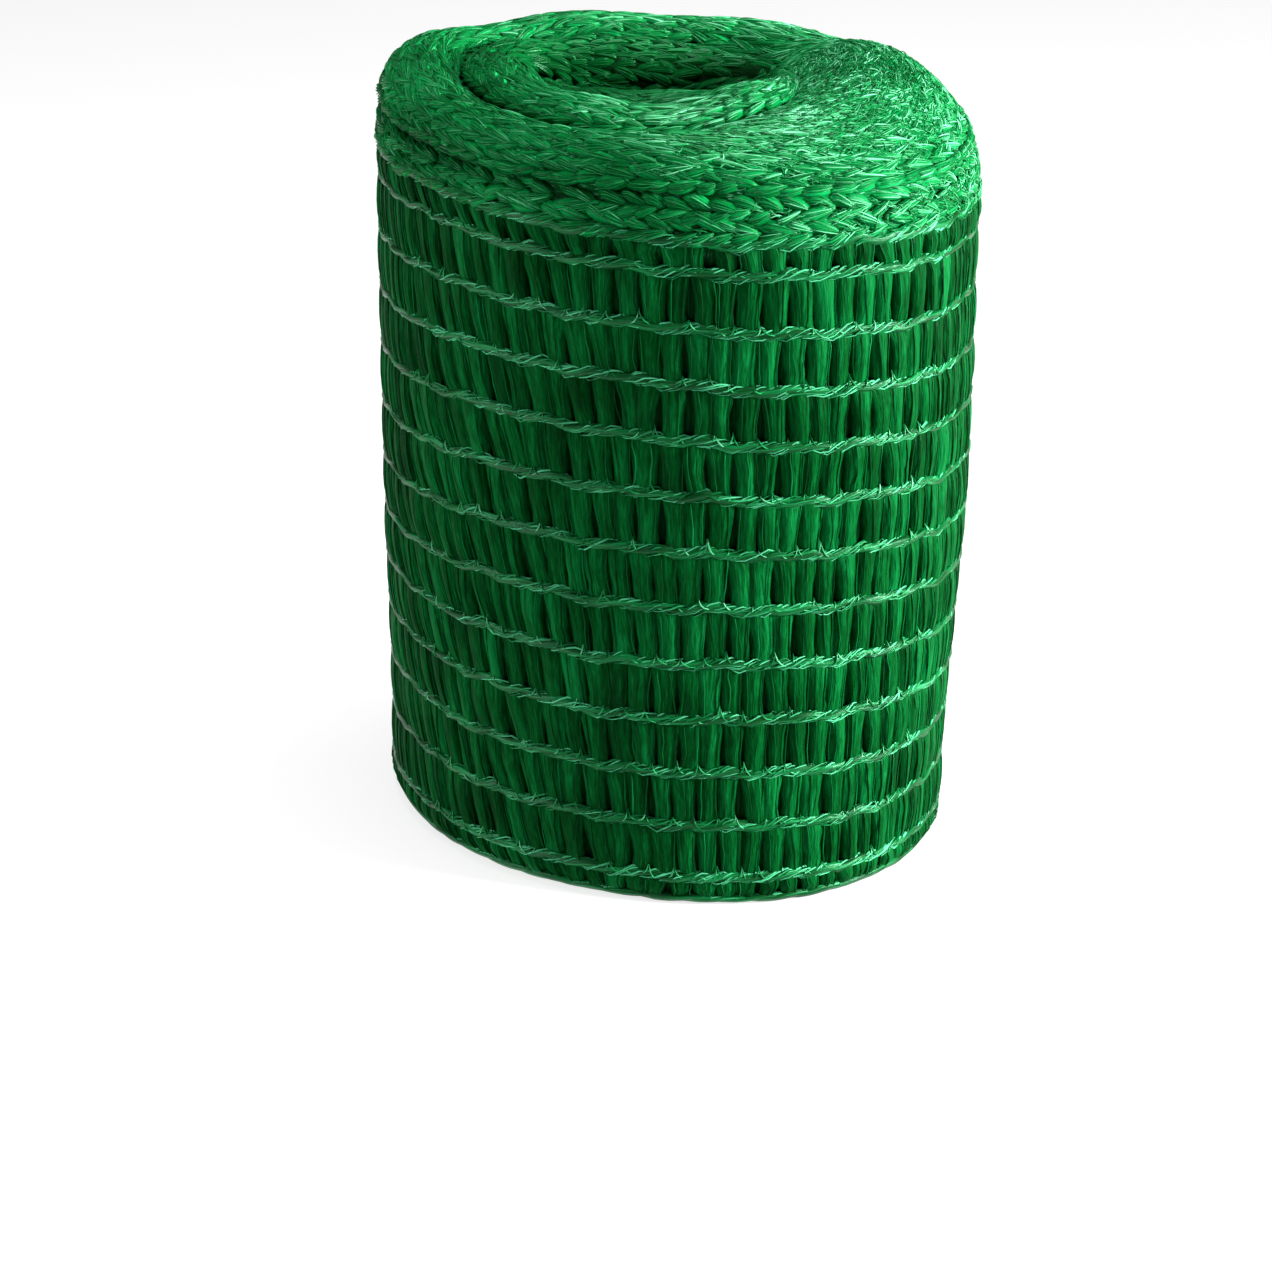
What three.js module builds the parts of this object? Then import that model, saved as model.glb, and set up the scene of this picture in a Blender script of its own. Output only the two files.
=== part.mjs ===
// A length of knitted privacy screen netting, folded lengthwise and wound into an upright bundle.
// The wound form is one closed solid: an oval wall crossed by raised ribs, rolled folds round the top,
// and an open core between them. Millimetres, +Z up, standing on z = 0, with the front towards -Y.
import * as THREE from "three";

// Driving sizes
const HALF_WIDTH = 172; // across the photo, at the top ribs
const HALF_DEPTH = 172; // along the view, before the skew
const WALL_SKEW = 0.2; // the oval's right side lies nearer than its left
const FOOT_SCALE = 0.96; // the bundle narrows a little towards the floor
const LEAN = 9; // the foot stands this far to the left of the top
const TILT = 0.03; // the ribs drop to the right, per millimetre across

const COLUMNS = 64; // steps round the bundle

// Ribs: the laid-in cords that cross the wall, counted down from the shoulder
const TOP_RIB = 378;
const RIB_PITCH = 32.7;
const RIB_COUNT = 12;
const SHOULDER_RIB = 395; // one more rib, squeezed under the fold
const SHOULDER_PITCH = 20;
// One pitch of the wall, from a cord upwards: a share of the pitch, and how far it stands proud
const RIB_PROFILE = [
  { rise: 0.0, proud: 2.4 },
  { rise: 0.17, proud: -3.4 },
  { rise: 0.42, proud: 0.4 },
  { rise: 0.72, proud: 1.4 },
];

// The folded top, given at eight bearings round the bundle, in the order of BEARINGS
const BEARINGS = ["right", "back right", "back", "back left", "left", "front left", "front", "front right"];
// Where the wall ends, tucked under the outer roll: height, and how far it is drawn in
const TUCK_HEIGHT = [416, 424, 426, 425, 422, 416, 416, 416];
const TUCK_INSET = [3, 5, 7, 6, 3, 5, 5, 3];
// Creases between the rolls, from the outside in, with a point at each bearing
const CREASES = [
  {
    name: "between the rolls",
    x: [67, 56, -10, -88, -127, -99, -22, 56],
    y: [42, 82, 101, 93, 30, -64, -115, -83],
    z: [439, 434, 443, 442, 440, 434, 432, 446],
  },
  {
    name: "inside the lip",
    x: [57, 30, -15, -62, -84, -67, -22, 35],
    y: [56, 70, 70, 70, 50, -8, -41, -4],
    z: [431, 428, 424, 426, 430, 425, 420, 428],
  },
  {
    name: "edge of the core",
    x: [42, 20, -15, -50, -66, -48, -16, 22],
    y: [58, 63, 64, 64, 56, 45, 42, 45],
    z: [422, 416, 412, 414, 418, 420, 422, 421],
  },
];
// How far each roll stands out from the straight line between its two creases
const ROLLS = [
  { name: "outer roll", rise: [27, 22, 20, 20, 23, 18, 16, 12] },
  { name: "inner roll", rise: [2, 6, 9, 13, 17, 20, 20, 14] },
  { name: "core turn", rise: [3, 1, 1, 2, 5, 10, 12, 8] },
];
// How softly the rolls meet: 0 is a sharp crease, 1 a smooth swell
const SOFTNESS = [0.8, 0.3, 0, 0, 0, 0, 0.2, 1];
// Shares of a roll's width at which it is cut into strips
const ROLL_STEPS = [0.07, 0.22, 0.5, 0.78, 0.93];

// The core, below its edge
const CORE_CENTRE = [-13, 54];
const CORE = [
  { scale: 0.94, height: 385 },
  { scale: 0.8, height: 335 },
];
const CORE_FLOOR = 325;

// The foot: flat where it stands, with the wound edge's turns as shallow grooves
const FOOT_ROUND = 9;
const FOOT_RINGS = [
  { scale: 0.93, height: 0 },
  { scale: 0.74, height: 0 },
  { scale: 0.7, height: 5 },
  { scale: 0.66, height: 0 },
  { scale: 0.43, height: 0 },
  { scale: 0.39, height: 5 },
  { scale: 0.35, height: 0 },
];

const mix = (a, b, share) => a + (b - a) * share;
const smooth = (share) => share * share * (3 - 2 * share);

// A value given at the eight bearings, carried smoothly round the bundle
function around(values, turn) {
  const place = ((turn / (2 * Math.PI)) * BEARINGS.length + BEARINGS.length) % BEARINGS.length;
  const index = Math.floor(place);
  const share = place - index;
  const [a, b, c, d] = [-1, 0, 1, 2].map((step) => values[(index + step + BEARINGS.length) % BEARINGS.length]);
  const bend = 2 * a - 5 * b + 4 * c - d + share * (3 * (b - c) + d - a);
  return b + 0.5 * share * (c - a + share * bend);
}

// How much narrower the wall is, and how far it leans, at a height
function wallScale(z) {
  return mix(FOOT_SCALE, 1, smooth(Math.min(1, z / 330)));
}
function lean(z) {
  return -LEAN * (1 - Math.min(1, z / TOP_RIB));
}

// The slow unevenness of soft cloth
function lump(turn, z) {
  return 1.3 * Math.sin(3 * turn + z / 70) + 0.9 * Math.sin(5 * turn - z / 45 + 1);
}

// A point of the wall: turn round the bundle, height, and how far it stands proud
function wallPoint(turn, z, proud) {
  const scale = wallScale(z);
  const sway = -TILT * HALF_WIDTH * Math.cos(turn) + 1.4 * Math.sin(2 * turn + z / 50);
  const out = proud + lump(turn, z);
  const x = (HALF_WIDTH * scale + out) * Math.cos(turn);
  const y = (HALF_DEPTH * scale + out) * Math.sin(turn) - WALL_SKEW * HALF_WIDTH * scale * Math.cos(turn);
  return [x + lean(z), y, z + sway * Math.min(1, z / 120)];
}

// A point of a crease. The first is where the wall ends, and the rest are in the table.
function creasePoint(index, turn) {
  if (index === 0) {
    const [x, y] = wallPoint(turn, TOP_RIB, -around(TUCK_INSET, turn));
    return [x, y, around(TUCK_HEIGHT, turn)];
  }
  const crease = CREASES[index - 1];
  return [around(crease.x, turn), around(crease.y, turn), around(crease.z, turn)];
}

// A point of a roll, share of the way from its outer crease to its inner one, arched out square to
// the line between them
function rollPoint(index, turn, share) {
  const a = creasePoint(index, turn);
  const b = creasePoint(index + 1, turn);
  const run = Math.hypot(b[0] - a[0], b[1] - a[1]);
  const climb = b[2] - a[2];
  const length = Math.hypot(run, climb);
  const arch = (1 - (2 * share - 1) ** 2) ** (0.5 + 0.5 * around(SOFTNESS, turn));
  const out = around(ROLLS[index].rise, turn) * arch * (1 + 0.08 * Math.sin(7 * turn + 2 * index));
  const back = (-climb / length / run) * out;
  return [
    mix(a[0], b[0], share) + (b[0] - a[0]) * back,
    mix(a[1], b[1], share) + (b[1] - a[1]) * back,
    mix(a[2], b[2], share) + (run / length) * out,
  ];
}

// All rows of the surface from the foot up the wall, over the top and down the core. Each is a
// function of the turn.
function surfaceRows() {
  const rows = [];
  for (const ring of [...FOOT_RINGS].reverse())
    rows.push((turn) => {
      const [x, y] = wallPoint(turn, 0, -FOOT_ROUND);
      return [(x + LEAN) * ring.scale - LEAN, y * ring.scale, ring.height];
    });
  rows.push((turn) => {
    const [x, y] = wallPoint(turn, 0, -FOOT_ROUND / 2);
    return [x, y, 0];
  });
  rows.push((turn) => {
    const [x, y] = wallPoint(turn, FOOT_ROUND, 0);
    return [x, y, FOOT_ROUND];
  });
  const ribs = [];
  for (let rib = RIB_COUNT; rib >= 1; rib--) ribs.push(TOP_RIB - (rib - 1) * RIB_PITCH);
  ribs.push(SHOULDER_RIB);
  for (let rib = 0; rib < ribs.length; rib++) {
    const pitch = rib < ribs.length - 1 ? ribs[rib + 1] - ribs[rib] : SHOULDER_PITCH;
    for (const step of RIB_PROFILE)
      rows.push((turn) => {
        const z = ribs[rib] + step.rise * pitch;
        const tuck = Math.max(0, (z - TOP_RIB) / (TUCK_HEIGHT[0] - TOP_RIB)) ** 2 * around(TUCK_INSET, turn);
        return wallPoint(turn, z, step.proud * Math.min(1, pitch / 24) - 0.7 * tuck);
      });
  }
  for (let index = 0; index < ROLLS.length; index++) {
    rows.push((turn) => creasePoint(index, turn));
    for (const share of ROLL_STEPS) rows.push((turn) => rollPoint(index, turn, share));
  }
  rows.push((turn) => creasePoint(ROLLS.length, turn));
  for (const step of CORE)
    rows.push((turn) => {
      const [x, y] = creasePoint(ROLLS.length, turn);
      return [mix(CORE_CENTRE[0], x, step.scale), mix(CORE_CENTRE[1], y, step.scale), step.height];
    });
  return rows;
}

// The closed skin over those rows, with a fan at the foot and one at the bottom of the core
function bundleGeometry() {
  const rows = surfaceRows();
  const positions = [-LEAN, 0, 0];
  for (const row of rows)
    for (let column = 0; column < COLUMNS; column++) positions.push(...row((column / COLUMNS) * 2 * Math.PI));
  positions.push(...CORE_CENTRE, CORE_FLOOR);

  const at = (row, column) => 1 + row * COLUMNS + (column % COLUMNS);
  const last = positions.length / 3 - 1;
  const faces = [];
  for (let column = 0; column < COLUMNS; column++) {
    faces.push(0, at(0, column + 1), at(0, column));
    for (let row = 0; row < rows.length - 1; row++) {
      faces.push(at(row, column), at(row, column + 1), at(row + 1, column + 1));
      faces.push(at(row, column), at(row + 1, column + 1), at(row + 1, column));
    }
    faces.push(at(rows.length - 1, column), at(rows.length - 1, column + 1), last);
  }
  const geometry = new THREE.BufferGeometry();
  geometry.setAttribute("position", new THREE.Float32BufferAttribute(positions, 3));
  geometry.setIndex(faces);
  geometry.computeVertexNormals();
  // the origin is under the middle of the whole bundle
  geometry.computeBoundingBox();
  const { min, max } = geometry.boundingBox;
  geometry.translate(-(min.x + max.x) / 2, -(min.y + max.y) / 2, -min.z);
  return geometry;
}

const NETTING_GREEN = new THREE.MeshStandardMaterial({ color: 0x0f7a3c, roughness: 0.6, metalness: 0 });

const bundle = new THREE.Mesh(bundleGeometry(), NETTING_GREEN);
bundle.name = "netting";

const part = new THREE.Group();
part.add(bundle);

export default part;
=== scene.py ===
# A length of knitted privacy screen netting, folded lengthwise and wound into an upright bundle.
# Its knit is cords laid round the bundle and tufts of tape yarn hanging between them, and the top
# is the same knit rolled over and pressed together.
import math

import bpy
import numpy as np
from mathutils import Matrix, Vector


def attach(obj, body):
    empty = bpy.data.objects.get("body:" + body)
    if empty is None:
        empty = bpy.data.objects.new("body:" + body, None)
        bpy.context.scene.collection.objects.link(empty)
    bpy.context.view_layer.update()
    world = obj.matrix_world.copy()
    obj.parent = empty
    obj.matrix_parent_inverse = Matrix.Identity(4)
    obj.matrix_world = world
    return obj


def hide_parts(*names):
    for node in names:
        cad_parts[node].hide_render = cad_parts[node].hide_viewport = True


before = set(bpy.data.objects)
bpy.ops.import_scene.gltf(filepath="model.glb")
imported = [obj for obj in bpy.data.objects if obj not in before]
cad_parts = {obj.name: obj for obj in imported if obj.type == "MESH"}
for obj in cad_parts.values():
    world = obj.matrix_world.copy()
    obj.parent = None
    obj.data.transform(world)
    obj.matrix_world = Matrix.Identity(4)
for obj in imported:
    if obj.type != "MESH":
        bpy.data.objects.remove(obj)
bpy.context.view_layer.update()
for each in bpy.context.selected_objects:
    each.select_set(False)
SEED = 7105
chance = np.random.default_rng(SEED)
TURN = 2 * math.pi

# The form of the bundle, in millimetres: the sizes of its solid
HALF_WIDTH = 172
HALF_DEPTH = 172
WALL_SKEW = 0.2  # the oval's right side lies nearer than its left
FOOT_SCALE = 0.96  # the bundle narrows a little towards the floor
WIDEN_HEIGHT = 330  # and has its full width from here up
LEAN = 9  # the foot stands this far to the left of the top
TILT = 0.03  # the rows drop to the right, per millimetre across
SWAY, SWAY_RISE = 1.4, 50  # the rows also rise and fall, and not all alike
LEVEL_HEIGHT = 120  # below this they come level with the floor
TOP_RIB = 378
RIB_PITCH = 32.7
RIB_COUNT = 12
SHOULDER_RIB = 395
FOOT_ROUND = 9
FOOT_DRAW, FOOT_DRAW_HEIGHT = 0.45, 10  # the wall is drawn in below this height
# The slow unevenness of soft cloth: size, waves round the bundle, how it climbs, where it starts
LUMPS = [
    (1.3, 3, 70, 0),
    (0.9, 5, -45, 1),
]
# The folded top at eight bearings: right, back right, back, back left, left, front left, front, front right
BEARINGS = 8
TUCK_HEIGHT = [416, 424, 426, 425, 422, 416, 416, 416]
TUCK_INSET = [3, 5, 7, 6, 3, 5, 5, 3]
CREASES = [
    {  # between the rolls
        "x": [67, 56, -10, -88, -127, -99, -22, 56],
        "y": [42, 82, 101, 93, 30, -64, -115, -83],
        "z": [439, 434, 443, 442, 440, 434, 432, 446],
    },
    {  # inside the lip
        "x": [57, 30, -15, -62, -84, -67, -22, 35],
        "y": [56, 70, 70, 70, 50, -8, -41, -4],
        "z": [431, 428, 424, 426, 430, 425, 420, 428],
    },
    {  # edge of the core
        "x": [42, 20, -15, -50, -66, -48, -16, 22],
        "y": [58, 63, 64, 64, 56, 45, 42, 45],
        "z": [422, 416, 412, 414, 418, 420, 422, 421],
    },
]
ROLL_RISE = [
    [27, 22, 20, 20, 23, 18, 16, 12],  # outer roll
    [2, 6, 9, 13, 17, 20, 20, 14],  # inner roll
    [3, 1, 1, 2, 5, 10, 12, 8],  # core turn
]
ROLL_RIPPLE, ROLL_WAVES = 0.08, 7
# How softly the rolls meet: 0 is a sharp crease, 1 a smooth swell
SOFTNESS = [0.8, 0.3, 0, 0, 0, 0, 0.2, 1]
SHOULDER_PROUD = 0.5
CORE_CENTRE = (-13, 54)
CORE_FLOOR = 325
# The solid's origin is under the middle of the whole bundle, this far from the middle of its wall
SHIFT = np.array([2.43, 0.27, 0.0])


def mix(a, b, share):
    return a + (b - a) * share


def around(values, turn):
    """A value given at the eight bearings, carried smoothly round the bundle."""
    place = (turn / TURN * BEARINGS) % BEARINGS
    index = np.floor(place).astype(int)
    share = place - index
    a, b, c, d = (np.take(np.array(values, float), (index + step) % BEARINGS) for step in (-1, 0, 1, 2))
    bend = 2 * a - 5 * b + 4 * c - d + share * (3 * (b - c) + d - a)
    return b + 0.5 * share * (c - a + share * bend)


def wall(turn, z, proud):
    """A point of the wall: turn round the bundle, height, and how far it stands proud."""
    turn, z, proud = np.broadcast_arrays(turn, np.asarray(z, float), np.asarray(proud, float))
    rise = np.clip(z / WIDEN_HEIGHT, 0, 1)
    scale = mix(FOOT_SCALE, 1, rise * rise * (3 - 2 * rise))
    sway = -TILT * HALF_WIDTH * np.cos(turn) + SWAY * np.sin(2 * turn + z / SWAY_RISE)
    lump = sum(size * np.sin(waves * turn + z / climb + start) for size, waves, climb, start in LUMPS)
    out = proud + lump - FOOT_DRAW * np.clip(FOOT_DRAW_HEIGHT - z, 0, FOOT_DRAW_HEIGHT)
    x = (HALF_WIDTH * scale + out) * np.cos(turn) - LEAN * (1 - np.clip(z / TOP_RIB, 0, 1))
    y = (HALF_DEPTH * scale + out) * np.sin(turn) - WALL_SKEW * HALF_WIDTH * scale * np.cos(turn)
    return np.stack([x, y, z + sway * np.clip(z / LEVEL_HEIGHT, 0, 1)], -1)


def outward(turn):
    """The level way out of the bundle at each turn."""
    return np.stack([np.cos(turn), np.sin(turn), 0 * turn], -1)


def crease(index, turn):
    """A point of a crease. The first is where the wall ends."""
    if index == 0:
        point = wall(turn, TOP_RIB, -around(TUCK_INSET, turn))
        point[..., 2] = around(TUCK_HEIGHT, turn)
        return point
    return np.stack([around(CREASES[index - 1][axis], turn) for axis in "xyz"], -1)


def roll(index, turn, share):
    """A point of a roll, arched out square to the line between its two creases."""
    a, b = crease(index, turn), crease(index + 1, turn)
    way = b - a
    run = np.hypot(way[..., 0], way[..., 1])
    length = np.hypot(run, way[..., 2])
    arch = (1 - (2 * share - 1) ** 2) ** (0.5 + 0.5 * around(SOFTNESS, turn))
    ripple = 1 + ROLL_RIPPLE * np.sin(ROLL_WAVES * turn + 2 * index)
    out = around(ROLL_RISE[index], turn) * arch * ripple
    point = mix(a, b, np.asarray(share)[..., None])
    point[..., :2] -= way[..., :2] * (way[..., 2] / length / run * out)[..., None]
    point[..., 2] += run / length * out
    return point


def top(fold, turn):
    """A point of the folded top. fold runs from -1 at the shoulder to 0 under the outer roll, then
    1 for each roll."""
    fold, turn = np.broadcast_arrays(np.asarray(fold, float), np.asarray(turn, float))
    point = np.zeros(fold.shape + (3,))
    band = fold < 0
    if band.any():
        share = (fold[band] + 1)[..., None]
        low = wall(turn[band], SHOULDER_RIB, SHOULDER_PROUD)
        point[band] = mix(low, crease(0, turn[band]), share)
    for index in range(len(ROLL_RISE)):
        on = (fold >= index) & ((fold < index + 1) | (index == len(ROLL_RISE) - 1))
        if on.any():
            share = np.clip(fold[on] - index, 1e-4, 1 - 1e-4)
            point[on] = roll(index, turn[on], share)
    return point


def unit(vector):
    return vector / np.maximum(np.linalg.norm(vector, axis=-1, keepdims=True), 1e-9)


FOLD_STEP, TURN_STEP = 0.012, 0.004  # how far apart the points are that give the slope of the top


def top_frame(fold, turn):
    """Point, outward normal, way round and way inwards on the folded top."""
    point = top(fold, turn)
    along = top(fold, turn + TURN_STEP) - top(fold, turn - TURN_STEP)
    inner = top(fold + FOLD_STEP, turn) - top(fold - FOLD_STEP, turn)
    return point, unit(np.cross(along, inner)), along / (2 * TURN_STEP), inner / (2 * FOLD_STEP)


class Shape:
    """Points and faces gathered for one piece. Each sheet of them is a grid of rows and columns."""

    def __init__(self):
        self.points, self.tints, self.faces, self.spots, self.count = [], [], [], [], 0

    @staticmethod
    def corners(grid):
        """The four corners of each cell of the grids."""
        return np.stack([grid[:, :-1, :-1], grid[:, :-1, 1:], grid[:, 1:, 1:], grid[:, 1:, :-1]], 3)

    def add(self, points, spots, tint, wrap_rows=False, wrap_columns=False, caps=False):
        """points is (sheets, rows, columns, 3), spots the yarn's own coordinates at each corner,
        with one row or column more where the grid wraps, and tint one value for each sheet or
        for each point."""
        sheets, rows, columns, _ = points.shape
        number = np.arange(sheets * rows * columns).reshape(sheets, rows, columns) + self.count
        if wrap_rows:
            number = np.concatenate([number, number[:, :1]], 1)
        if wrap_columns:
            number = np.concatenate([number, number[:, :, :1]], 2)
        self.faces.append(self.corners(number).reshape(-1, 4))
        self.spots.append(self.corners(spots).reshape(-1, 2))
        if caps:
            for row, order in ((0, slice(None, None, -1)), (-1, slice(None))):
                self.faces.append(number[:, row, :columns][:, order])
                self.spots.append(spots[:, row, :columns][:, order].reshape(-1, 2))
        self.points.append(points.reshape(-1, 3))
        tint = np.asarray(tint, float)
        if tint.ndim < 2:
            tint = np.broadcast_to(tint.reshape(-1, 1, 1), (sheets, rows, columns))
        self.tints.append(np.broadcast_to(tint, (sheets, rows, columns)).ravel())
        self.count += points.size // 3

    def build(self, name, finish):
        mesh = bpy.data.meshes.new(name)
        points = (np.concatenate(self.points) + SHIFT) / 1000
        sizes = np.concatenate([np.full(len(f), f.shape[1]) for f in self.faces])
        corners = np.concatenate([f.reshape(-1) for f in self.faces])
        mesh.vertices.add(len(points))
        mesh.vertices.foreach_set("co", points.astype(np.float32).ravel())
        mesh.loops.add(len(corners))
        mesh.loops.foreach_set("vertex_index", corners.astype(np.int32))
        mesh.polygons.add(len(sizes))
        starts = np.concatenate([[0], np.cumsum(sizes)[:-1]])
        mesh.polygons.foreach_set("loop_start", starts.astype(np.int32))
        mesh.polygons.foreach_set("use_smooth", np.ones(len(sizes), bool))
        layer = mesh.uv_layers.new(name="yarn")
        layer.data.foreach_set("uv", np.concatenate(self.spots).astype(np.float32).ravel())
        tint = mesh.attributes.new("tint", "FLOAT", "POINT")
        tint.data.foreach_set("value", np.concatenate(self.tints).astype(np.float32))
        mesh.update(calc_edges=True)
        mesh.validate()
        item = bpy.data.objects.new(name, mesh)
        bpy.context.collection.objects.link(item)
        mesh.materials.append(finish)
        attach(item, "root")
        return item


PATTERN_SPREAD = 400  # millimetres: each yarn takes its grain from its own place within this


def strands(shape, path, radius, facing, sides, tint, ring=False, thick=1.0):
    """Yarns along path (yarns, points, 3), each a tube that closes on itself or has capped ends.
    facing is the way out of the bundle, and thick how far a yarn stands out for its width."""
    if ring:
        along = np.roll(path, -1, 1) - np.roll(path, 1, 1)
    else:
        along = np.gradient(path, axis=1)
    along = unit(along)
    side = unit(np.cross(along, facing))
    out = np.cross(side, along)
    radius = np.broadcast_to(radius, path.shape[:2])[..., None, None]
    thick = np.broadcast_to(thick, path.shape[:2])[..., None, None]
    angle = (np.arange(sides) / sides * TURN)[None, None, :, None]
    section = out[:, :, None] * np.cos(angle) * thick + side[:, :, None] * np.sin(angle)
    points = path[:, :, None] + radius * section
    yarns, length = path.shape[:2]
    gap = np.linalg.norm(np.diff(path, axis=1, append=path[:, :1] if ring else path[:, -1:]), axis=2)
    reach = np.concatenate([np.zeros((yarns, 1)), np.cumsum(gap, 1)], 1)
    reach = reach[:, : length + (1 if ring else 0)]
    start = chance.random((yarns, 2)) * PATTERN_SPREAD
    width = TURN * float(np.mean(radius))
    u = start[:, None, None, 0] + np.arange(sides + 1)[None, None] / sides * width
    v = start[:, None, None, 1] + reach[:, :, None]
    spots = np.stack(np.broadcast_arrays(u, v), -1) / 1000
    shape.add(points, spots, tint, wrap_rows=ring, wrap_columns=True, caps=not ring)


def tapered(size, shares, count):
    """The radius along each of count filaments, from its size and its shares end to end."""
    return size * np.array([shares]) * np.ones((count, 1))


def wander(turn, waves, size):
    """A slow seeded wobble that closes round the bundle."""
    total = np.zeros_like(turn)
    for wave in waves:
        total += np.sin(wave * turn + chance.random() * TURN) * (0.5 + chance.random())
    return total * size / len(waves)


class Wire:
    """A shader value. Sums on it add Math nodes."""

    def __init__(self, finish, socket):
        self.finish, self.socket = finish, socket

    def sum(self, operation, a, b):
        return self.finish.node("ShaderNodeMath", {"operation": operation}, {0: a, 1: b})

    def __add__(self, other):
        return self.sum("ADD", self, other)

    def __sub__(self, other):
        return self.sum("SUBTRACT", self, other)

    def __rsub__(self, other):
        return self.sum("SUBTRACT", other, self)

    def __mul__(self, other):
        return self.sum("MULTIPLY", self, other)

    __radd__, __rmul__ = __add__, __mul__


class Finish:
    """A material, and the one way in which nodes are added to it."""

    def __init__(self, name):
        self.material = bpy.data.materials.new(name)
        self.material.use_nodes = True
        self.tree = self.material.node_tree
        self.shader = self.tree.nodes["Principled BSDF"]

    def node(self, kind, settings=None, values=None, output=0):
        made = self.tree.nodes.new(kind)
        for key, value in (settings or {}).items():
            if key == "stops":
                ramp = made.color_ramp
                while len(ramp.elements) < len(value):
                    ramp.elements.new(0.5)
                for element, (place, colour) in zip(ramp.elements, value):
                    element.position, element.color = place, (*colour, 1)
            else:
                setattr(made, key, value)
        for key, value in (values or {}).items():
            self.put(made.inputs[key], value)
        return Wire(self, made.outputs[output])

    def put(self, socket, value):
        if isinstance(value, Wire):
            self.tree.links.new(value.socket, socket)
        else:
            socket.default_value = value

    def set(self, **values):
        for key, value in values.items():
            self.put(self.shader.inputs[key.replace("_", " ")], value)


SHADE_STOPS = (0.22, 0.5, 0.82)  # where a yarn's dark, middle and light green stand in its shade
# the pale green of the painted glints
PAINTED_GLINT_GREEN = (0.16, 0.7, 0.36, 1)
SHEEN_GREEN = (0.1, 0.8, 0.35, 1)
GLEAM_GREEN = (0.35, 1.0, 0.6, 1)
BUMP_DEPTH = 0.0012


def yarn_finish(
    name, greens, roughness, gloss, sheen, relief, streak=900.0, contrast=1.0, painted_glints=0.0, run=38.0
):
    """Tape yarn: fine filaments along it, a shade of its own for each strand, and a satin gleam.
    streak and run are how fine its grain is across and along it, and its short pale dashes are painted
    glints."""
    finish = Finish(name)
    coords = finish.node("ShaderNodeUVMap", {"uv_map": "yarn"})

    def grain(scale, **noise):
        stretched = finish.node("ShaderNodeMapping", {}, {"Vector": coords, "Scale": (*scale, 1.0)})
        return finish.node("ShaderNodeTexNoise", {}, {"Vector": stretched, "Scale": 1.0, **noise})

    fine = grain((streak, run), Detail=3.0, Roughness=0.6, Distortion=0.4)
    locks = grain((streak * 0.35, 22.0), Detail=2.0)
    place = finish.node("ShaderNodeTexCoord", output=3)
    patch = finish.node("ShaderNodeTexNoise", {}, {"Vector": place, "Scale": 24.0, "Detail": 3.0})
    # the tint attribute carries each strand's own tone and, in places, painted light and shade
    tint = finish.node("ShaderNodeAttribute", {"attribute_name": "tint"}, output=2)
    shade = (fine - 0.5) * 0.9 * contrast + (locks - 0.5) * 0.7 * contrast + (patch - 0.5) * 0.4
    shade = shade + (tint - 0.5) * 0.3 + 0.5
    stops = list(zip(SHADE_STOPS, greens))
    colour = finish.node("ShaderNodeValToRGB", {"stops": stops}, {"Fac": shade})
    height = fine * 0.6 + locks * 0.8
    if painted_glints:
        # Painted glints: short pale streaks mixed into the colour, fewer where the tint is dark
        glint_marks = grain((1100.0, 170.0), Detail=1.5)
        limits = {"Value": glint_marks, "From Min": 0.56, "From Max": 0.68, "To Max": painted_glints}
        glint_marks = finish.node("ShaderNodeMapRange", {}, limits)
        glint_marks = glint_marks * finish.node("ShaderNodeClamp", {}, {"Value": tint + 0.2})
        # 0, 6 and 7 are the share and the two colours of a Mix node
        bright = {0: glint_marks, 6: colour, 7: PAINTED_GLINT_GREEN}
        colour = finish.node("ShaderNodeMix", {"data_type": "RGBA"}, bright, output=2)
        height = height + glint_marks * 0.5
    ridges = {"Height": height, "Strength": relief, "Distance": BUMP_DEPTH}
    bump = finish.node("ShaderNodeBump", {}, ridges)
    finish.set(Base_Color=colour, Roughness=roughness + (fine - 0.5) * 0.3, Normal=bump)
    finish.set(Sheen_Weight=sheen, Sheen_Roughness=0.4, Sheen_Tint=SHEEN_GREEN)
    finish.set(Specular_IOR_Level=gloss, Specular_Tint=GLEAM_GREEN)
    return finish.material


# The greens of each yarn: dark, middle and light
TUFT_GREENS = ((0.0, 0.024, 0.003), (0.0, 0.062, 0.009), (0.002, 0.145, 0.03))
# The cords' light green is pale: partly painted highlight on their loose filaments
CORD_GREENS = ((0.0, 0.04, 0.005), (0.001, 0.18, 0.04), (0.1, 0.62, 0.3))
# The folded top's greens are lighter than the tufts': partly painted light, for the top that the light falls
# on from above
FOLD_GREENS = ((0.0, 0.065, 0.009), (0.0, 0.2, 0.036), (0.003, 0.37, 0.09))
# The loose filaments' light green is nearly white: painted highlight as well as their own lighter green
BRIGHT_GREENS = ((0.0, 0.1, 0.018), (0.006, 0.27, 0.065), (0.28, 0.9, 0.53))
SOFT_GREENS = ((0.0, 0.03, 0.004), (0.0, 0.1, 0.018), (0.006, 0.26, 0.07))
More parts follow.
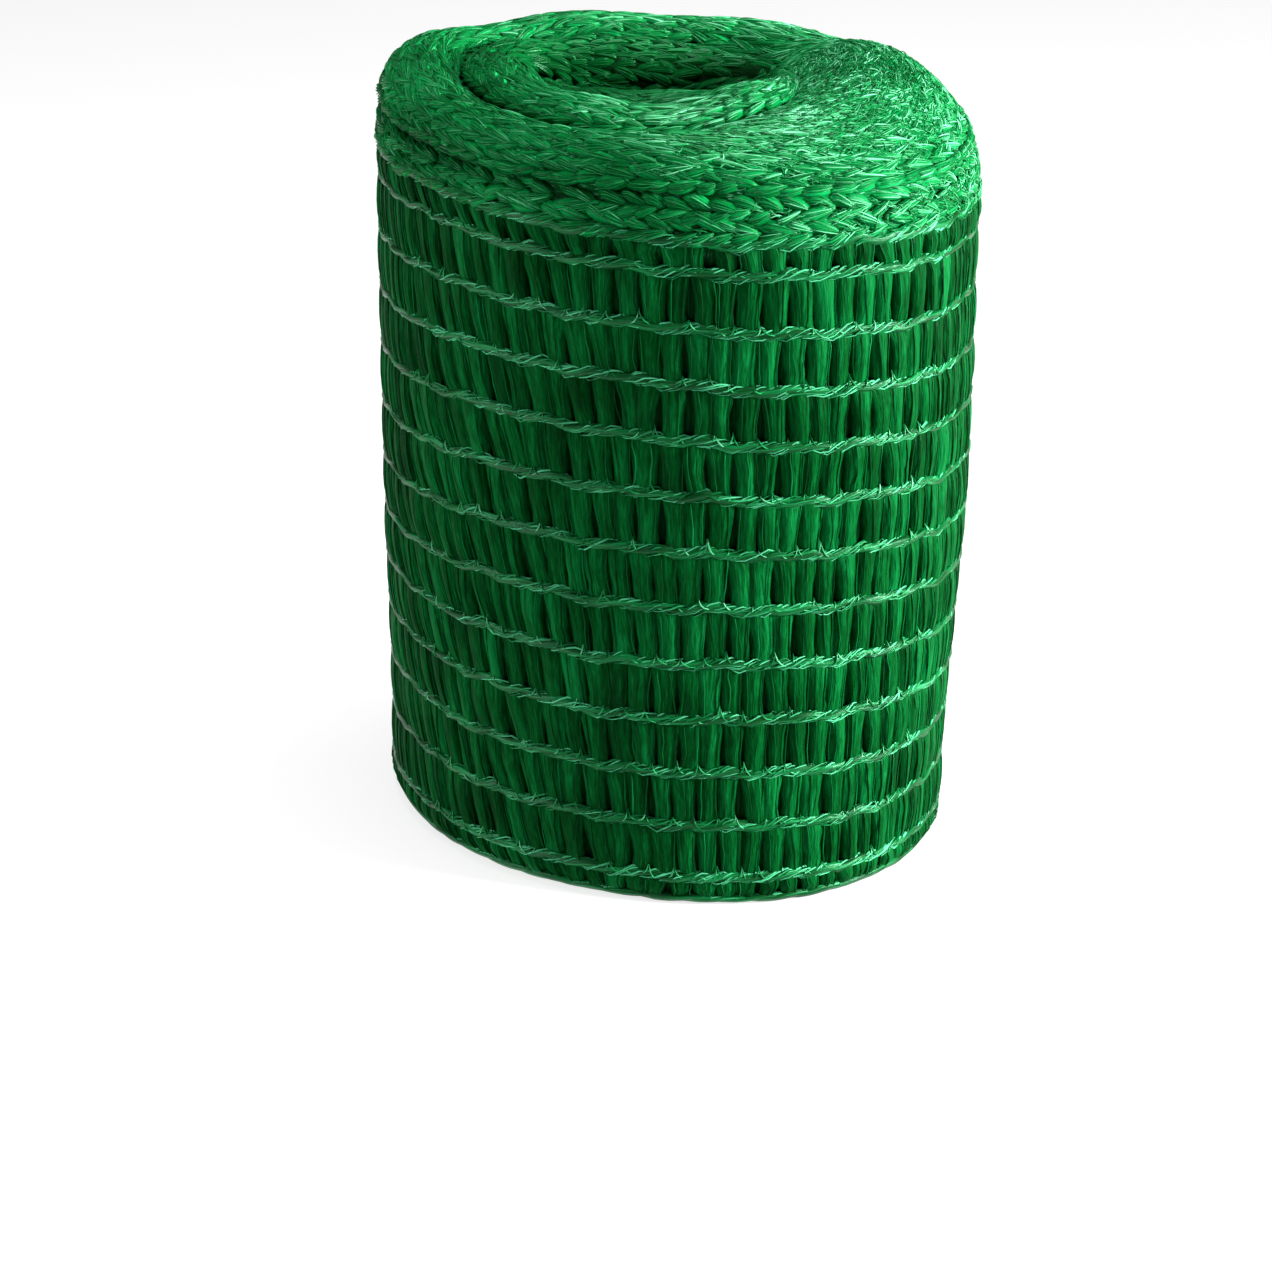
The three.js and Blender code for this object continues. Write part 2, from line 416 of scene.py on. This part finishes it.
# The inner turns' darkest green is painted shade for the gaps behind the tufts and deep in the folds
DEEP_GREENS = ((0.0, 0.012, 0.001), (0.0, 0.05, 0.007), (0.0, 0.19, 0.04))
TUFT_YARN = yarn_finish("tuft yarn", TUFT_GREENS, 0.5, 0.03, 0.03, 1.0, contrast=1.1, run=95.0)
CORD_YARN = yarn_finish("cord yarn", CORD_GREENS, 0.34, 0.35, 0.03, 0.8, contrast=1.2)
TOP_YARN = yarn_finish("folded yarn", FOLD_GREENS, 0.44, 0.04, 0.02, 0.9, contrast=1.2, painted_glints=0.45)
FILAMENT = yarn_finish("loose filament", BRIGHT_GREENS, 0.3, 0.35, 0.02, 0.4)
SOFT_FILAMENT = yarn_finish("soft filament", SOFT_GREENS, 0.45, 0.1, 0.02, 0.4)
INNER_KNIT = yarn_finish("inner turns", DEEP_GREENS, 0.5, 0.04, 0.02, 0.9, 800.0, 1.1, 0.6)
# Painted light: how much lighter the loose filaments are coloured at the eight bearings, lightest on the
# right where the key light falls
PAINTED_LIGHT_BY_BEARING = [1.0, 0.8, 0.6, 0.3, 0.1, 0.25, 0.75, 1.0]


# The inner turns: a thin closed skin behind the outer knit, all the way round, under and inside
COLUMNS = 180
OUTER_TURN = 1.08  # metres round the wall
SKIN_THICKNESS = 0.002
SKIN_FLOOR = 0.6  # how far the skin stays off the floor
FOOT_RINGS = [(0.35, 0), (0.39, 4), (0.43, 0), (0.66, 0), (0.7, 4), (0.74, 0), (0.985, 0)]  # scale, height
LOW_RING, LOW_RING_PROUD = 4, -2.5
WALL_RINGS, WALL_RINGS_PROUD = np.arange(12, SHOULDER_RIB - 6, 16.0), -2.9
FOLD_STEPS = np.concatenate(
    [
        [-0.9, -0.6, -0.3, -0.1],
        np.linspace(0, 1, 21),
        np.linspace(1, 2, 13)[1:],
        np.linspace(2, 2.985, 11)[1:],
    ]
)
CORE_RINGS = [(0.97, 400), (0.92, 370), (0.84, 335), (0.5, 326)]  # scale, height
# Painted shade: how much the skin between the inner folds is darkened, at the eight bearings
HOLLOW_PAINTED_SHADE = [1, 1, 1, 1, 0.6, 0.2, 0, 0.2]  # how dark the inner folds lie, at the eight bearings
turns = np.arange(COLUMNS) / COLUMNS * TURN
skin_soft = np.clip(around(SOFTNESS, turns), 0, 1)


def pole(x, y, z):
    """A ring of the skin that closes to a point."""
    return np.array([[x, y, z]]) * np.ones((COLUMNS, 1))


def shrunk(ring, centre, scale, height):
    """A ring of the skin drawn in towards a centre, at one height."""
    ring = ring.copy()
    ring[:, 0] = mix(centre[0], ring[:, 0], scale)
    ring[:, 1] = mix(centre[1], ring[:, 1], scale)
    ring[:, 2] = height
    return ring


def skin_proud(fold):
    """How far the skin stands out of the folded top."""
    if fold < 0:
        return -0.8 + 6.4 * (fold + 1) * -fold * (1 - skin_soft) ** 0.5
    if fold < 0.1:
        return mix(0.2, 1.3, skin_soft)
    inside = min(1, min(fold % 1, 1 - fold % 1) / 0.12)
    return mix(mix(-0.6, 1.2, skin_soft), 0.5 + 0.8 * skin_soft, inside)


def skin_tints(rows, first):
    """How light the skin is: painted shade makes it darker on the wall behind the tufts and deep between the
    folds.
    """
    # painted shade: the wall behind the tufts, the foot and the core are coloured dark
    tints = np.zeros((1, rows, COLUMNS)) - 0.3
    share = np.maximum(FOLD_STEPS, 0)[None, :, None]
    painted_shade = np.clip(share - 1, 0, 2) * around(HOLLOW_PAINTED_SHADE, turns)
    # painted shade on the shoulder band up to the top's first crease, where the fold is sharp
    painted_shade = painted_shade + 0.4 * (share < 0.05) * (1 - skin_soft)
    tints[:, first : first + len(FOLD_STEPS)] = 0.7 + 0.35 * skin_soft - 1.6 * painted_shade
    return tints


def inner_skin():
    foot = wall(turns, 0, -FOOT_ROUND / 2)
    rows = [pole(-LEAN, 0, SKIN_FLOOR)]
    rows += [shrunk(foot, (-LEAN, 0), scale, height + SKIN_FLOOR) for scale, height in FOOT_RINGS]
    rows.append(wall(turns, LOW_RING, LOW_RING_PROUD))
    rows += [wall(turns, z, WALL_RINGS_PROUD) for z in WALL_RINGS]
    wall_rows = len(rows)
    for fold in FOLD_STEPS:
        point, normal, _, _ = top_frame(np.full(COLUMNS, fold), turns)
        rows.append(point + normal * skin_proud(fold)[:, None])
    edge = crease(3, turns)
    rows += [shrunk(edge, CORE_CENTRE, scale, height) for scale, height in CORE_RINGS]
    rows.append(pole(*CORE_CENTRE, CORE_FLOOR))
    rows = np.array(rows)
    tints = skin_tints(len(rows), wall_rows)
    across = np.arange(COLUMNS + 1)[None, :] / COLUMNS * OUTER_TURN
    gaps = np.linalg.norm(np.diff(rows, axis=0, prepend=rows[:1]), axis=2).mean(1)
    spots = np.stack(np.broadcast_arrays(across, np.cumsum(gaps)[:, None] / 1000), -1)[None]
    # the grain runs up the wall, and round the folds
    shape = Shape()
    on_wall, on_top = slice(0, wall_rows + 1), slice(wall_rows, None)
    shape.add(rows[None, on_wall], spots[:, on_wall], tints[:, on_wall], wrap_columns=True)
    shape.add(rows[None, on_top], spots[:, on_top, :, ::-1], tints[:, on_top], wrap_columns=True)
    return shape


inner_turns = inner_skin().build("inner_turns", INNER_KNIT)
bpy.context.view_layer.objects.active = inner_turns
inner_turns.select_set(True)
bpy.ops.object.mode_set(mode="EDIT")
bpy.ops.mesh.select_all(action="SELECT")
bpy.ops.mesh.remove_doubles(threshold=1e-5)
bpy.ops.object.mode_set(mode="OBJECT")
wall_cloth = inner_turns.modifiers.new("cloth", "SOLIDIFY")
wall_cloth.thickness = SKIN_THICKNESS
wall_cloth.offset = -1
bpy.ops.object.modifier_apply(modifier="cloth")
inner_turns.select_set(False)
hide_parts("netting")


# Cords laid round the wall, each of two thick plies with loose filaments twisted over them
CORD_STEPS = 240
CORD_TWISTS = 25
CORD_HEIGHTS = [SHOULDER_RIB] + [TOP_RIB - k * RIB_PITCH for k in range(RIB_COUNT)]
FOOT_CORD = 4.4
PLIES = {"count": 2, "swing": 1.2, "radius": 2.2, "sides": 5, "ragged": 0.1}
LOOSE = {"count": 8, "swing": 3.2, "radius": 0.62, "sides": 3, "ragged": 0.35}
CORD_WAVES = [(0.7, 23, 2.1), (0.6, 37, 3.7), (0.5, 9, -1.0)]  # size, waves round, phase
CORD_PROUD = 0.7
cord_turns = np.arange(CORD_STEPS) / CORD_STEPS * TURN
cord_flush = np.cos(cord_turns) ** 4  # the cords are pressed flatter at the left and the right


def row_phase(z):
    """Each row's own start for its waves."""
    return z * 0.37


def cord_line(turn, z):
    """How a cord wanders up and down along its row."""
    sway = sum(size * np.sin(waves * turn + row_phase(z) * phase) for size, waves, phase in CORD_WAVES)
    return sway * min(1, z / 30)


def cords(rows):
    shape = Shape()
    for z in rows:
        phase = row_phase(z)
        lift = cord_line(cord_turns, z)
        swell = 1 + 0.16 * np.sin(82 * cord_turns + phase) + 0.1 * np.sin(31 * cord_turns + phase)
        for yarn in (PLIES, LOOSE):
            for k in range(yarn["count"]):
                twist = CORD_TWISTS * cord_turns + TURN * k / yarn["count"]
                twist = twist + wander(cord_turns, (5, 11, 17), 0.5)
                spread = yarn["swing"] * swell * (1 + wander(cord_turns, (29, 47, 61), yarn["ragged"]))
                spread = spread * (1 - 0.45 * cord_flush) * min(1, z / 9)
                proud = CORD_PROUD - 0.6 * cord_flush + 0.6 * spread * np.cos(twist)
                path = wall(cord_turns, z + lift + spread * np.sin(twist), proud)
                size = yarn["radius"] * (1 + wander(cord_turns, (13, 19), 0.2))
                if yarn is LOOSE:
                    # painted light: the loose filaments are coloured darker away from the lit bearings
                    tint = chance.uniform(0.4, 2.0) - 0.7 * (1 - around(PAINTED_LIGHT_BY_BEARING, cord_turns))
                else:
                    tint = 0 * cord_turns - 0.2
                sides = yarn["sides"]
                tint = np.broadcast_to(tint[None, :, None], (1, CORD_STEPS, sides))
                strands(shape, path[None], size[None], outward(cord_turns)[None], sides, tint, ring=True)
    return shape


cords(CORD_HEIGHTS[:7]).build("upper_cords", CORD_YARN)
cords(CORD_HEIGHTS[7:] + [FOOT_CORD]).build("lower_cords", CORD_YARN)


# Tufts hanging between the cords. One is shaped here, across and down, and laid out in rows.
TUFTS_ROUND = 79
TUFT_ACROSS = np.array([-1, -0.84, -0.56, -0.2, 0.18, 0.54, 0.84, 1, 0.0])
TUFT_FRONT = np.array([0, 0.6, 0.85, 1.0, 1.0, 0.84, 0.56, 0, -0.35])
TUFT_DOWN = [  # share of the drop, half width in pitches, stand-off of back and front, lean in pitches
    (-0.04, 0.6, -3.4, 0.0, -0.02),
    (0.1, 0.62, -3.4, 1.4, -0.01),
    (0.28, 0.56, -3.5, 2.2, 0.0),
    (0.5, 0.49, -3.5, 2.5, 0.01),
    (0.72, 0.46, -3.4, 2.3, 0.03),
    (0.9, 0.5, -3.0, 1.6, 0.05),
    (1.04, 0.53, -2.4, 0.7, 0.07),
]
TUFT_GROOVE = 0.2
TUFT_GIRTH = 0.024  # metres of grain round a tuft
LEFT_LEAN = 0.9  # how far the tufts of the left side slant, in pitches
down, half_width, back, front, tuft_lean = (np.array(column) for column in zip(*TUFT_DOWN))


def seats_in_row(k):
    """Where the tufts of row k hang, and how each of them leans and bends, all in pitches."""
    dice = np.random.default_rng(500 + k)
    seat = np.arange(TUFTS_ROUND) + 0.15 * (k % 2) + dice.normal(0, 0.06, TUFTS_ROUND)
    return seat, dice.normal(0, 0.1, TUFTS_ROUND), dice.normal(0, 0.05, TUFTS_ROUND)


def row_drop(k):
    return CORD_HEIGHTS[k] - (CORD_HEIGHTS + [FOOT_CORD])[k + 1]


def turn_of(along):
    return along / TUFTS_ROUND * TURN


def hang(k, along, share, proud):
    """A point of row k: pitches along, share of the drop, and how far it stands proud."""
    turn = turn_of(along)
    z_top, drop = CORD_HEIGHTS[k], row_drop(k)
    fall = cord_line(turn, z_top) * (1 - share) + cord_line(turn, z_top - drop) * share
    return wall(turn, z_top + fall - share * drop, proud), turn


def sideways(seat, lean, bend, share):
    """How far a tuft has gone sideways at a share of its drop."""
    left = np.clip(-np.cos(turn_of(seat)), 0, 1)[:, None]
    slant = (LEFT_LEAN * left + lean[:, None]) * share
    return np.interp(share, down, tuft_lean) + slant + bend[:, None] * np.sin(share * math.pi)


def tufts():
    shape = Shape()
    for k in range(len(CORD_HEIGHTS)):
        seat, lean, bend = seats_in_row(k)
        wide = (1 + chance.normal(0, 0.08, TUFTS_ROUND))[:, None, None]
        deep = (1 + chance.normal(0, 0.15, TUFTS_ROUND))[:, None, None]
        share = down[None] + 0.02 * chance.normal(0, 1, (TUFTS_ROUND, 1))
        along = seat[:, None] + sideways(seat, lean, bend, share) + chance.normal(0, 0.02, share.shape)
        along = along[..., None] + half_width[None, :, None] * TUFT_ACROSS[None, None] * wide
        share = share[..., None]
        grooves = chance.normal(0, TUFT_GROOVE, (TUFTS_ROUND, 1, len(TUFT_ACROSS)))
        grooves = grooves * (0.6 + 0.4 * np.sin(share * 4 + chance.random((TUFTS_ROUND, 1, 1)) * TURN))
        proud = mix(back[None, :, None], front[None, :, None] * deep, TUFT_FRONT[None, None])
        points, _ = hang(k, along, share, proud + grooves * (TUFT_FRONT > 0.5))
        start = chance.random((TUFTS_ROUND, 2)) * PATTERN_SPREAD / 1000
        u = start[:, None, None, 0] + np.linspace(0, TUFT_GIRTH, len(TUFT_ACROSS) + 1)[None, None]
        v = start[:, None, None, 1] + (share[:, ::-1] * row_drop(k) / 1000)
        spots = np.stack(np.broadcast_arrays(u, v), -1)
        tint = 0.5 + chance.normal(0, 0.25, TUFTS_ROUND)
        shape.add(points[:, ::-1], spots, tint, wrap_columns=True, caps=True)
    return shape


tufts().build("tufts", TUFT_YARN)


# Filaments that lie down the front of each tuft, and stray over its edges
def tuft_filaments():
    shape = Shape()
    many = (TUFTS_ROUND, 1)
    for k in range(len(CORD_HEIGHTS)):
        seat, lean, bend = seats_in_row(k)
        for slot in (-0.2, 0.3):
            share = np.linspace(0.02, 0.99, 6)[None] + chance.normal(0, 0.02, many)
            across = slot + chance.normal(0, 0.08, many) + chance.normal(0, 0.1, many) * share
            along = seat[:, None] + sideways(seat, lean, bend, share)
            along = along + across * np.interp(share, down, half_width) * 2
            along = along + chance.normal(0, 0.02, share.shape)
            proud = np.interp(share, down, front) * (1 - 2.2 * slot * slot) + chance.normal(0.25, 0.25, many)
            path, turn = hang(k, along, share, proud)
            size = tapered(0.45, [0.6, 1.1, 1.0, 1.1, 1.1, 0.6], TUFTS_ROUND)
            strands(shape, path, size, outward(turn), 3, chance.random(TUFTS_ROUND) * 1.4 - 0.8)
    return shape


tuft_filaments().build("tuft_filaments", SOFT_FILAMENT)


# Filaments that rise out of a cord in short peaks along the right edges of the tufts above it. They
# are left out at the sides, where they would stand off the bundle's outline.
def tip_filaments():
    shape = Shape()
    for k in range(len(CORD_HEIGHTS) - 1):
        seat, lean, _ = seats_in_row(k)
        seat = seat + 0.45 + lean + chance.normal(0, 0.04, TUFTS_ROUND)
        seat = seat[np.abs(np.cos(turn_of(seat))) < 0.85]
        count = len(seat)
        rise = chance.uniform(0.76, 0.96, count)[:, None]
        for side in (-0.2, 0.35):
            share = mix(rise, 1.02, np.array([[0, 0.3, 0.6, 0.85, 1.0]]))
            share = share + chance.normal(0, 0.015, (count, 1))
            aside = side * (1 + chance.normal(0, 0.3, (count, 1)))
            along = seat[:, None] + 0.05 * side + aside * np.array([[0, 0.06, 0.24, 0.6, 1.15]])
            proud = np.array([[0.4, 1.6, 2.4, 3.1, 2.6]]) + chance.normal(0, 0.3, (count, 1))
            path, turn = hang(k, along, share, proud)
            size = tapered(0.48, [0.4, 0.9, 1.2, 1.1, 0.6], count)
            strands(shape, path, size, outward(turn), 3, chance.random(count) - 0.3)
    return shape


tip_filaments().build("tip_filaments", FILAMENT)


# The folded top: rows of knitted locks pressed together, in pairs that close towards the right
BEARING_STEPS = 720
FOLD_SHARES = 90


class Fold:
    """One fold of the top, measured inwards from its outer crease."""

    def __init__(self, first, last, even=None):
        """even is the width that the fold counts as all the way round, if its rows spread to fill it."""
        self.even = even
        turn = np.arange(BEARING_STEPS) / BEARING_STEPS * TURN
        self.shares = np.linspace(first, last, FOLD_SHARES)
        grid = top(self.shares[None], turn[:, None])
        step = np.linalg.norm(np.diff(grid, axis=1), axis=2)
        self.reach = np.concatenate([np.zeros((BEARING_STEPS, 1)), np.cumsum(step, 1)], 1)
        self.widest = even or self.reach[:, -1].max()

    def at(self, turn, distance):
        """The place on the top at this distance, and how much of the fold is left beyond it."""
        index = np.rint(turn % TURN / TURN * BEARING_STEPS).astype(int) % BEARING_STEPS
        rows = self.reach[index]
        scale = rows[..., -1] / self.even if self.even else 1.0
        distance = distance * scale
        after = np.clip((rows < distance[..., None]).sum(-1), 1, rows.shape[-1] - 1)
        low = np.take_along_axis(rows, after[..., None] - 1, -1)[..., 0]
        high = np.take_along_axis(rows, after[..., None], -1)[..., 0]
        share = np.clip((distance - low) / (high - low), 0, 1)
        return self.shares[after - 1] + share * (self.shares[1] - self.shares[0]), rows[..., -1] - distance

    def seats(self, distance, pitch):
        """Turns of places evenly spaced along the row at this distance."""
        turn = np.arange(BEARING_STEPS + 1) / BEARING_STEPS * TURN
        place, left = self.at(turn, np.full(turn.shape, float(distance)))
        step = np.linalg.norm(np.diff(top(place, turn), axis=0), axis=1)
        reach = np.concatenate([[0], np.cumsum(step)])
        count = max(8, int(reach[-1] / pitch))
        seats = np.interp((np.arange(count) + chance.normal(0, 0.1, count)) / count * reach[-1], reach, turn)
        keep = np.interp(seats, turn, left) > 1.5
        return seats[keep], reach[-1] / count


# A lock, from its tip under the one before it to its tip under the next
LOCK_SIDES = 4
LOCK_ALONG = np.linspace(0, 1, 7)
LOCK_WIDE = np.array([0.6, 1.0, 1.15, 1.18, 1.1, 0.9, 0.5])
LOCK_LIFT = np.array([-1.4, 0.1, 0.8, 1.0, 0.7, 0.0, -1.2])
LOCK_LENGTH = 1.5  # in pitches
LOCK_SLANT = 0.52  # in row spacings
HAIR_SLOTS = (-0.65, -0.22, 0.22, 0.65)
HAIR_TAPER = [0.5, 0.9, 1.1, 1.2, 1.1, 0.9, 0.5]
HAIR_RADIUS = 0.36


def lock_paths(fold, distance, spacing, pitch):
    """Where the locks of a row run, one side of the pairs and then the other."""
    seats, pitch = fold.seats(distance, pitch)
    count = len(seats)
    for side in (-1, 1):
        start = seats + side * 0.12 * pitch / 150
        _, _, along, _ = top_frame(fold.at(start, np.full(count, float(distance)))[0], start)
        reach = pitch * LOCK_LENGTH * (1 + chance.normal(0, 0.16, count)) / np.linalg.norm(along, axis=-1)
        turn = start[:, None] + LOCK_ALONG[None] * reach[:, None]
        slant = LOCK_SLANT * spacing * (1 + chance.normal(0, 0.25, count))[:, None]
        across = distance + side * (1 - LOCK_ALONG[None] ** 1.3) * slant
        yield turn, across + chance.normal(0, 0.7, count)[:, None]


def deepness(shade, turn, across, left):
    """How deep in shadow the yarn lies: shade is (at the outer crease, at the inner one, bearings)."""
    share = np.clip(across / np.maximum(across + left, 1), 0, 1)
    return mix(shade[0], shade[1], share) * around(shade[2], turn)


NO_SHADE = (0, 0, [1] * BEARINGS)
INNER_SHADE = (0.4, 1.8, [0.5, 1, 1, 1, 0.7, 0, 0, 0])
CORE_SHADE = (2.4, 4.0, [1, 1, 1, 1, 1, 0.4, 0.3, 0.4])


def lock_rows(fold, spacing, pitch, locks, hairs, start=0.5, bulge=0.0, shade=NO_SHADE, flat=0.85):
    """Rows of locks over a fold. They stand out beside its creases and lie flatter between them."""
    for distance in np.arange(start * spacing, fold.widest, spacing):
        for turn, across in lock_paths(fold, distance, spacing, pitch):
            count = len(turn)
            place, left = fold.at(turn, np.maximum(across, 0.2))
            point, normal, _, inward = top_frame(place, turn)
            inward = unit(inward)
            soft = np.clip(around(SOFTNESS, turn), 0, 1)
            edge = np.exp(-np.minimum(np.maximum(across, 0), np.maximum(left, 0)) / 9)
            relief = (1 - 0.6 * soft) * (1 - flat + flat * edge)
            width = 0.31 * spacing * LOCK_WIDE[None] * (1 + chance.normal(0, 0.1, count))[:, None]
            lift = LOCK_LIFT[None] * relief + chance.normal(0, 0.22, count)[:, None] + 0.3 * (1 - relief)
            whole = np.maximum(across + left, 1)
            lift = lift + bulge * np.clip(4 * across * left / whole**2, 0, 1) * (1 - soft) ** 0.5
            if not fold.even:
                lift = lift + 2.2 * soft * np.exp(-np.maximum(across, 0) / 10)
            path = point + normal * lift[..., None]
            # Painted shade: locks deep in the inner folds and the core, and beside sharp creases, are
            # coloured darker
            painted_shade = deepness(shade, turn, across, left)
            crease_painted_shade = 0.6 * edge * (1 - soft)
            tint = (chance.random(count)[:, None] * 0.5 + 0.3 - painted_shade - crease_painted_shade)[..., None]
            thick = 0.22 + 0.4 * relief
            strands(locks, path, width, normal, LOCK_SIDES, tint + np.zeros(LOCK_SIDES), thick=thick)
            for slot in HAIR_SLOTS:
                aside = slot + chance.normal(0, 0.15, (count, 1))
                aside = aside * (1 - 0.6 * LOCK_ALONG[None]) * width
                height = width * thick * (1 - 0.3 * slot * slot) + 0.05
                height = height + chance.normal(0, 0.15, (count, 1))
                hair = path + inward * aside[..., None] + normal * height[..., None]
                size = tapered(HAIR_RADIUS, HAIR_TAPER, count)
                # painted light: the hairs are coloured lighter on the lit bearings
                painted_light = around(PAINTED_LIGHT_BY_BEARING, turn[:, 3])
                hue = chance.random(count) * (0.6 + 0.9 * painted_light) - 0.3
                # painted shade: the hairs are coloured darker where their locks are
                hue = hue - 0.8 * painted_shade.mean(1) - crease_painted_shade.mean(1)
                strands(hairs, hair[:, 1:], size[:, 1:], normal[:, 1:], 3, hue)


collar = Fold(-1.0, -0.01, even=22.0)
outer_fold = Fold(0.03, 1)
inner_fold = Fold(1.03, 2)
core_fold = Fold(2.03, 2.97)
outer_locks, inner_locks, outer_hairs, inner_hairs = Shape(), Shape(), Shape(), Shape()
lock_rows(collar, 11.0, 12.5, outer_locks, outer_hairs, bulge=1.6, flat=0.4)
lock_rows(outer_fold, 9.8, 14.0, outer_locks, outer_hairs, start=0.35)
lock_rows(inner_fold, 9.0, 12.5, inner_locks, inner_hairs, shade=INNER_SHADE)
lock_rows(core_fold, 9.0, 12.5, inner_locks, inner_hairs, shade=CORE_SHADE)
outer_locks.build("outer_fold_locks", TOP_YARN)
inner_locks.build("inner_fold_locks", TOP_YARN)
outer_hairs.build("outer_fold_filaments", FILAMENT)
inner_hairs.build("inner_fold_filaments", FILAMENT)


# Fine wavy filaments felted over the smooth right side of the top
FELT_FROM, FELT_TO = -0.36, 0.12  # as shares of a turn
FELT_CROSSWISE = 0.1  # the share of them that lies across the rows
FELT_TRIES = 3  # as many more are drawn, as most of them fall where the folds are sharp


def felted_filaments(fold, count):
    shape = Shape()
    tries = count * FELT_TRIES
    turn = chance.uniform(FELT_FROM, FELT_TO, tries) * TURN
    distance = chance.uniform(0, fold.widest, tries)
    place, left = fold.at(turn, distance)
    keep = np.flatnonzero((left > 2) & (around(SOFTNESS, turn) > chance.random(tries)))[:count]
    turn, distance, count = turn[keep], distance[keep], len(keep)
    place = fold.at(turn, distance)[0]
    _, _, along, _ = top_frame(place, turn)
    share = np.linspace(-0.5, 0.5, 5)[None]
    crosswise = chance.random(count) < FELT_CROSSWISE
    slant = np.where(crosswise, chance.normal(1.1, 0.3, count), chance.normal(-0.2, 0.35, count))[:, None]
    length = chance.uniform(4.5, 10, (count, 1))
    wave = chance.uniform(0.2, 0.6, (count, 1))
    wave = wave * np.sin(share * TURN * 1.2 + chance.random((count, 1)) * TURN)
    at_turn = turn[:, None] + (share * length * np.cos(slant)) / np.linalg.norm(along, axis=-1)[:, None]
    at_distance = np.clip(distance[:, None] + share * length * np.sin(slant) + wave, 0.5, 300)
    place, left = fold.at(at_turn, at_distance)
    point, normal, _, _ = top_frame(place, at_turn)
    lift = 1.3 + 0.5 * np.cos(share * math.pi) + chance.normal(0, 0.2, (count, 1))
    if fold.even:
        lift = lift + 0.6
    path = point + normal * lift[..., None]
    size = tapered(HAIR_RADIUS, [0.5, 1.0, 1.2, 1.0, 0.5], count)
    strands(shape, path, size, normal, 3, chance.random(count) * 1.3 - 0.5)
    return shape


felted_filaments(outer_fold, 2400).build("felted_filaments", FILAMENT)
felted_filaments(collar, 350).build("collar_filaments", FILAMENT)


# Floor, light and camera
bpy.ops.object.select_all(action="DESELECT")
bpy.ops.mesh.primitive_plane_add(size=14, location=(0, 0, 0))
floor = bpy.context.active_object
floor.name = "floor"
paper = Finish("pale floor")
paper.set(Base_Color=(0.35, 0.35, 0.35, 1), Roughness=0.9, Specular_IOR_Level=0.0)
paper.set(Emission_Color=(1, 1, 1, 1), Emission_Strength=0.76)
floor.data.materials.append(paper.material)


def lamp(name, place, aim, size, power):
    light = bpy.data.lights.new(name, "AREA")
    light.size, light.energy = size, power
    item = bpy.data.objects.new(name, light)
    bpy.context.collection.objects.link(item)
    item.location = place
    item.rotation_euler = (Vector(aim) - Vector(place)).to_track_quat("-Z", "Y").to_euler()


lamp("key", (2.6, -0.85, 0.9), (0, 0, 0.25), 0.7, 246)
lamp("over", (0.2, 0.0, 2.4), (0, 0, 0.2), 1.4, 46)
lamp("left", (-2.4, -0.6, 1.0), (0, 0, 0.25), 1.0, 28)
world = bpy.data.worlds.new("studio")
world.use_nodes = True
world.node_tree.nodes["Background"].inputs[0].default_value = (1, 1, 1, 1)
world.node_tree.nodes["Background"].inputs[1].default_value = 0.09
bpy.context.scene.world = world
bpy.context.scene.view_settings.view_transform = "Standard"

# The camera stands where the photograph was taken from
IMAGE_SIZE = 1272
FOCAL_PIXELS = 3800
CAMERA_PITCH = math.radians(20.5)
CAMERA_PLACE = (-0.0216, -2.160, 0.910)
view = bpy.data.cameras.new("camera")
view.sensor_width = 36
view.lens = FOCAL_PIXELS / IMAGE_SIZE * view.sensor_width
camera = bpy.data.objects.new("camera", view)
bpy.context.collection.objects.link(camera)
camera.location = CAMERA_PLACE
camera.rotation_euler = (math.pi / 2 - CAMERA_PITCH, 0, 0)
bpy.context.scene.camera = camera
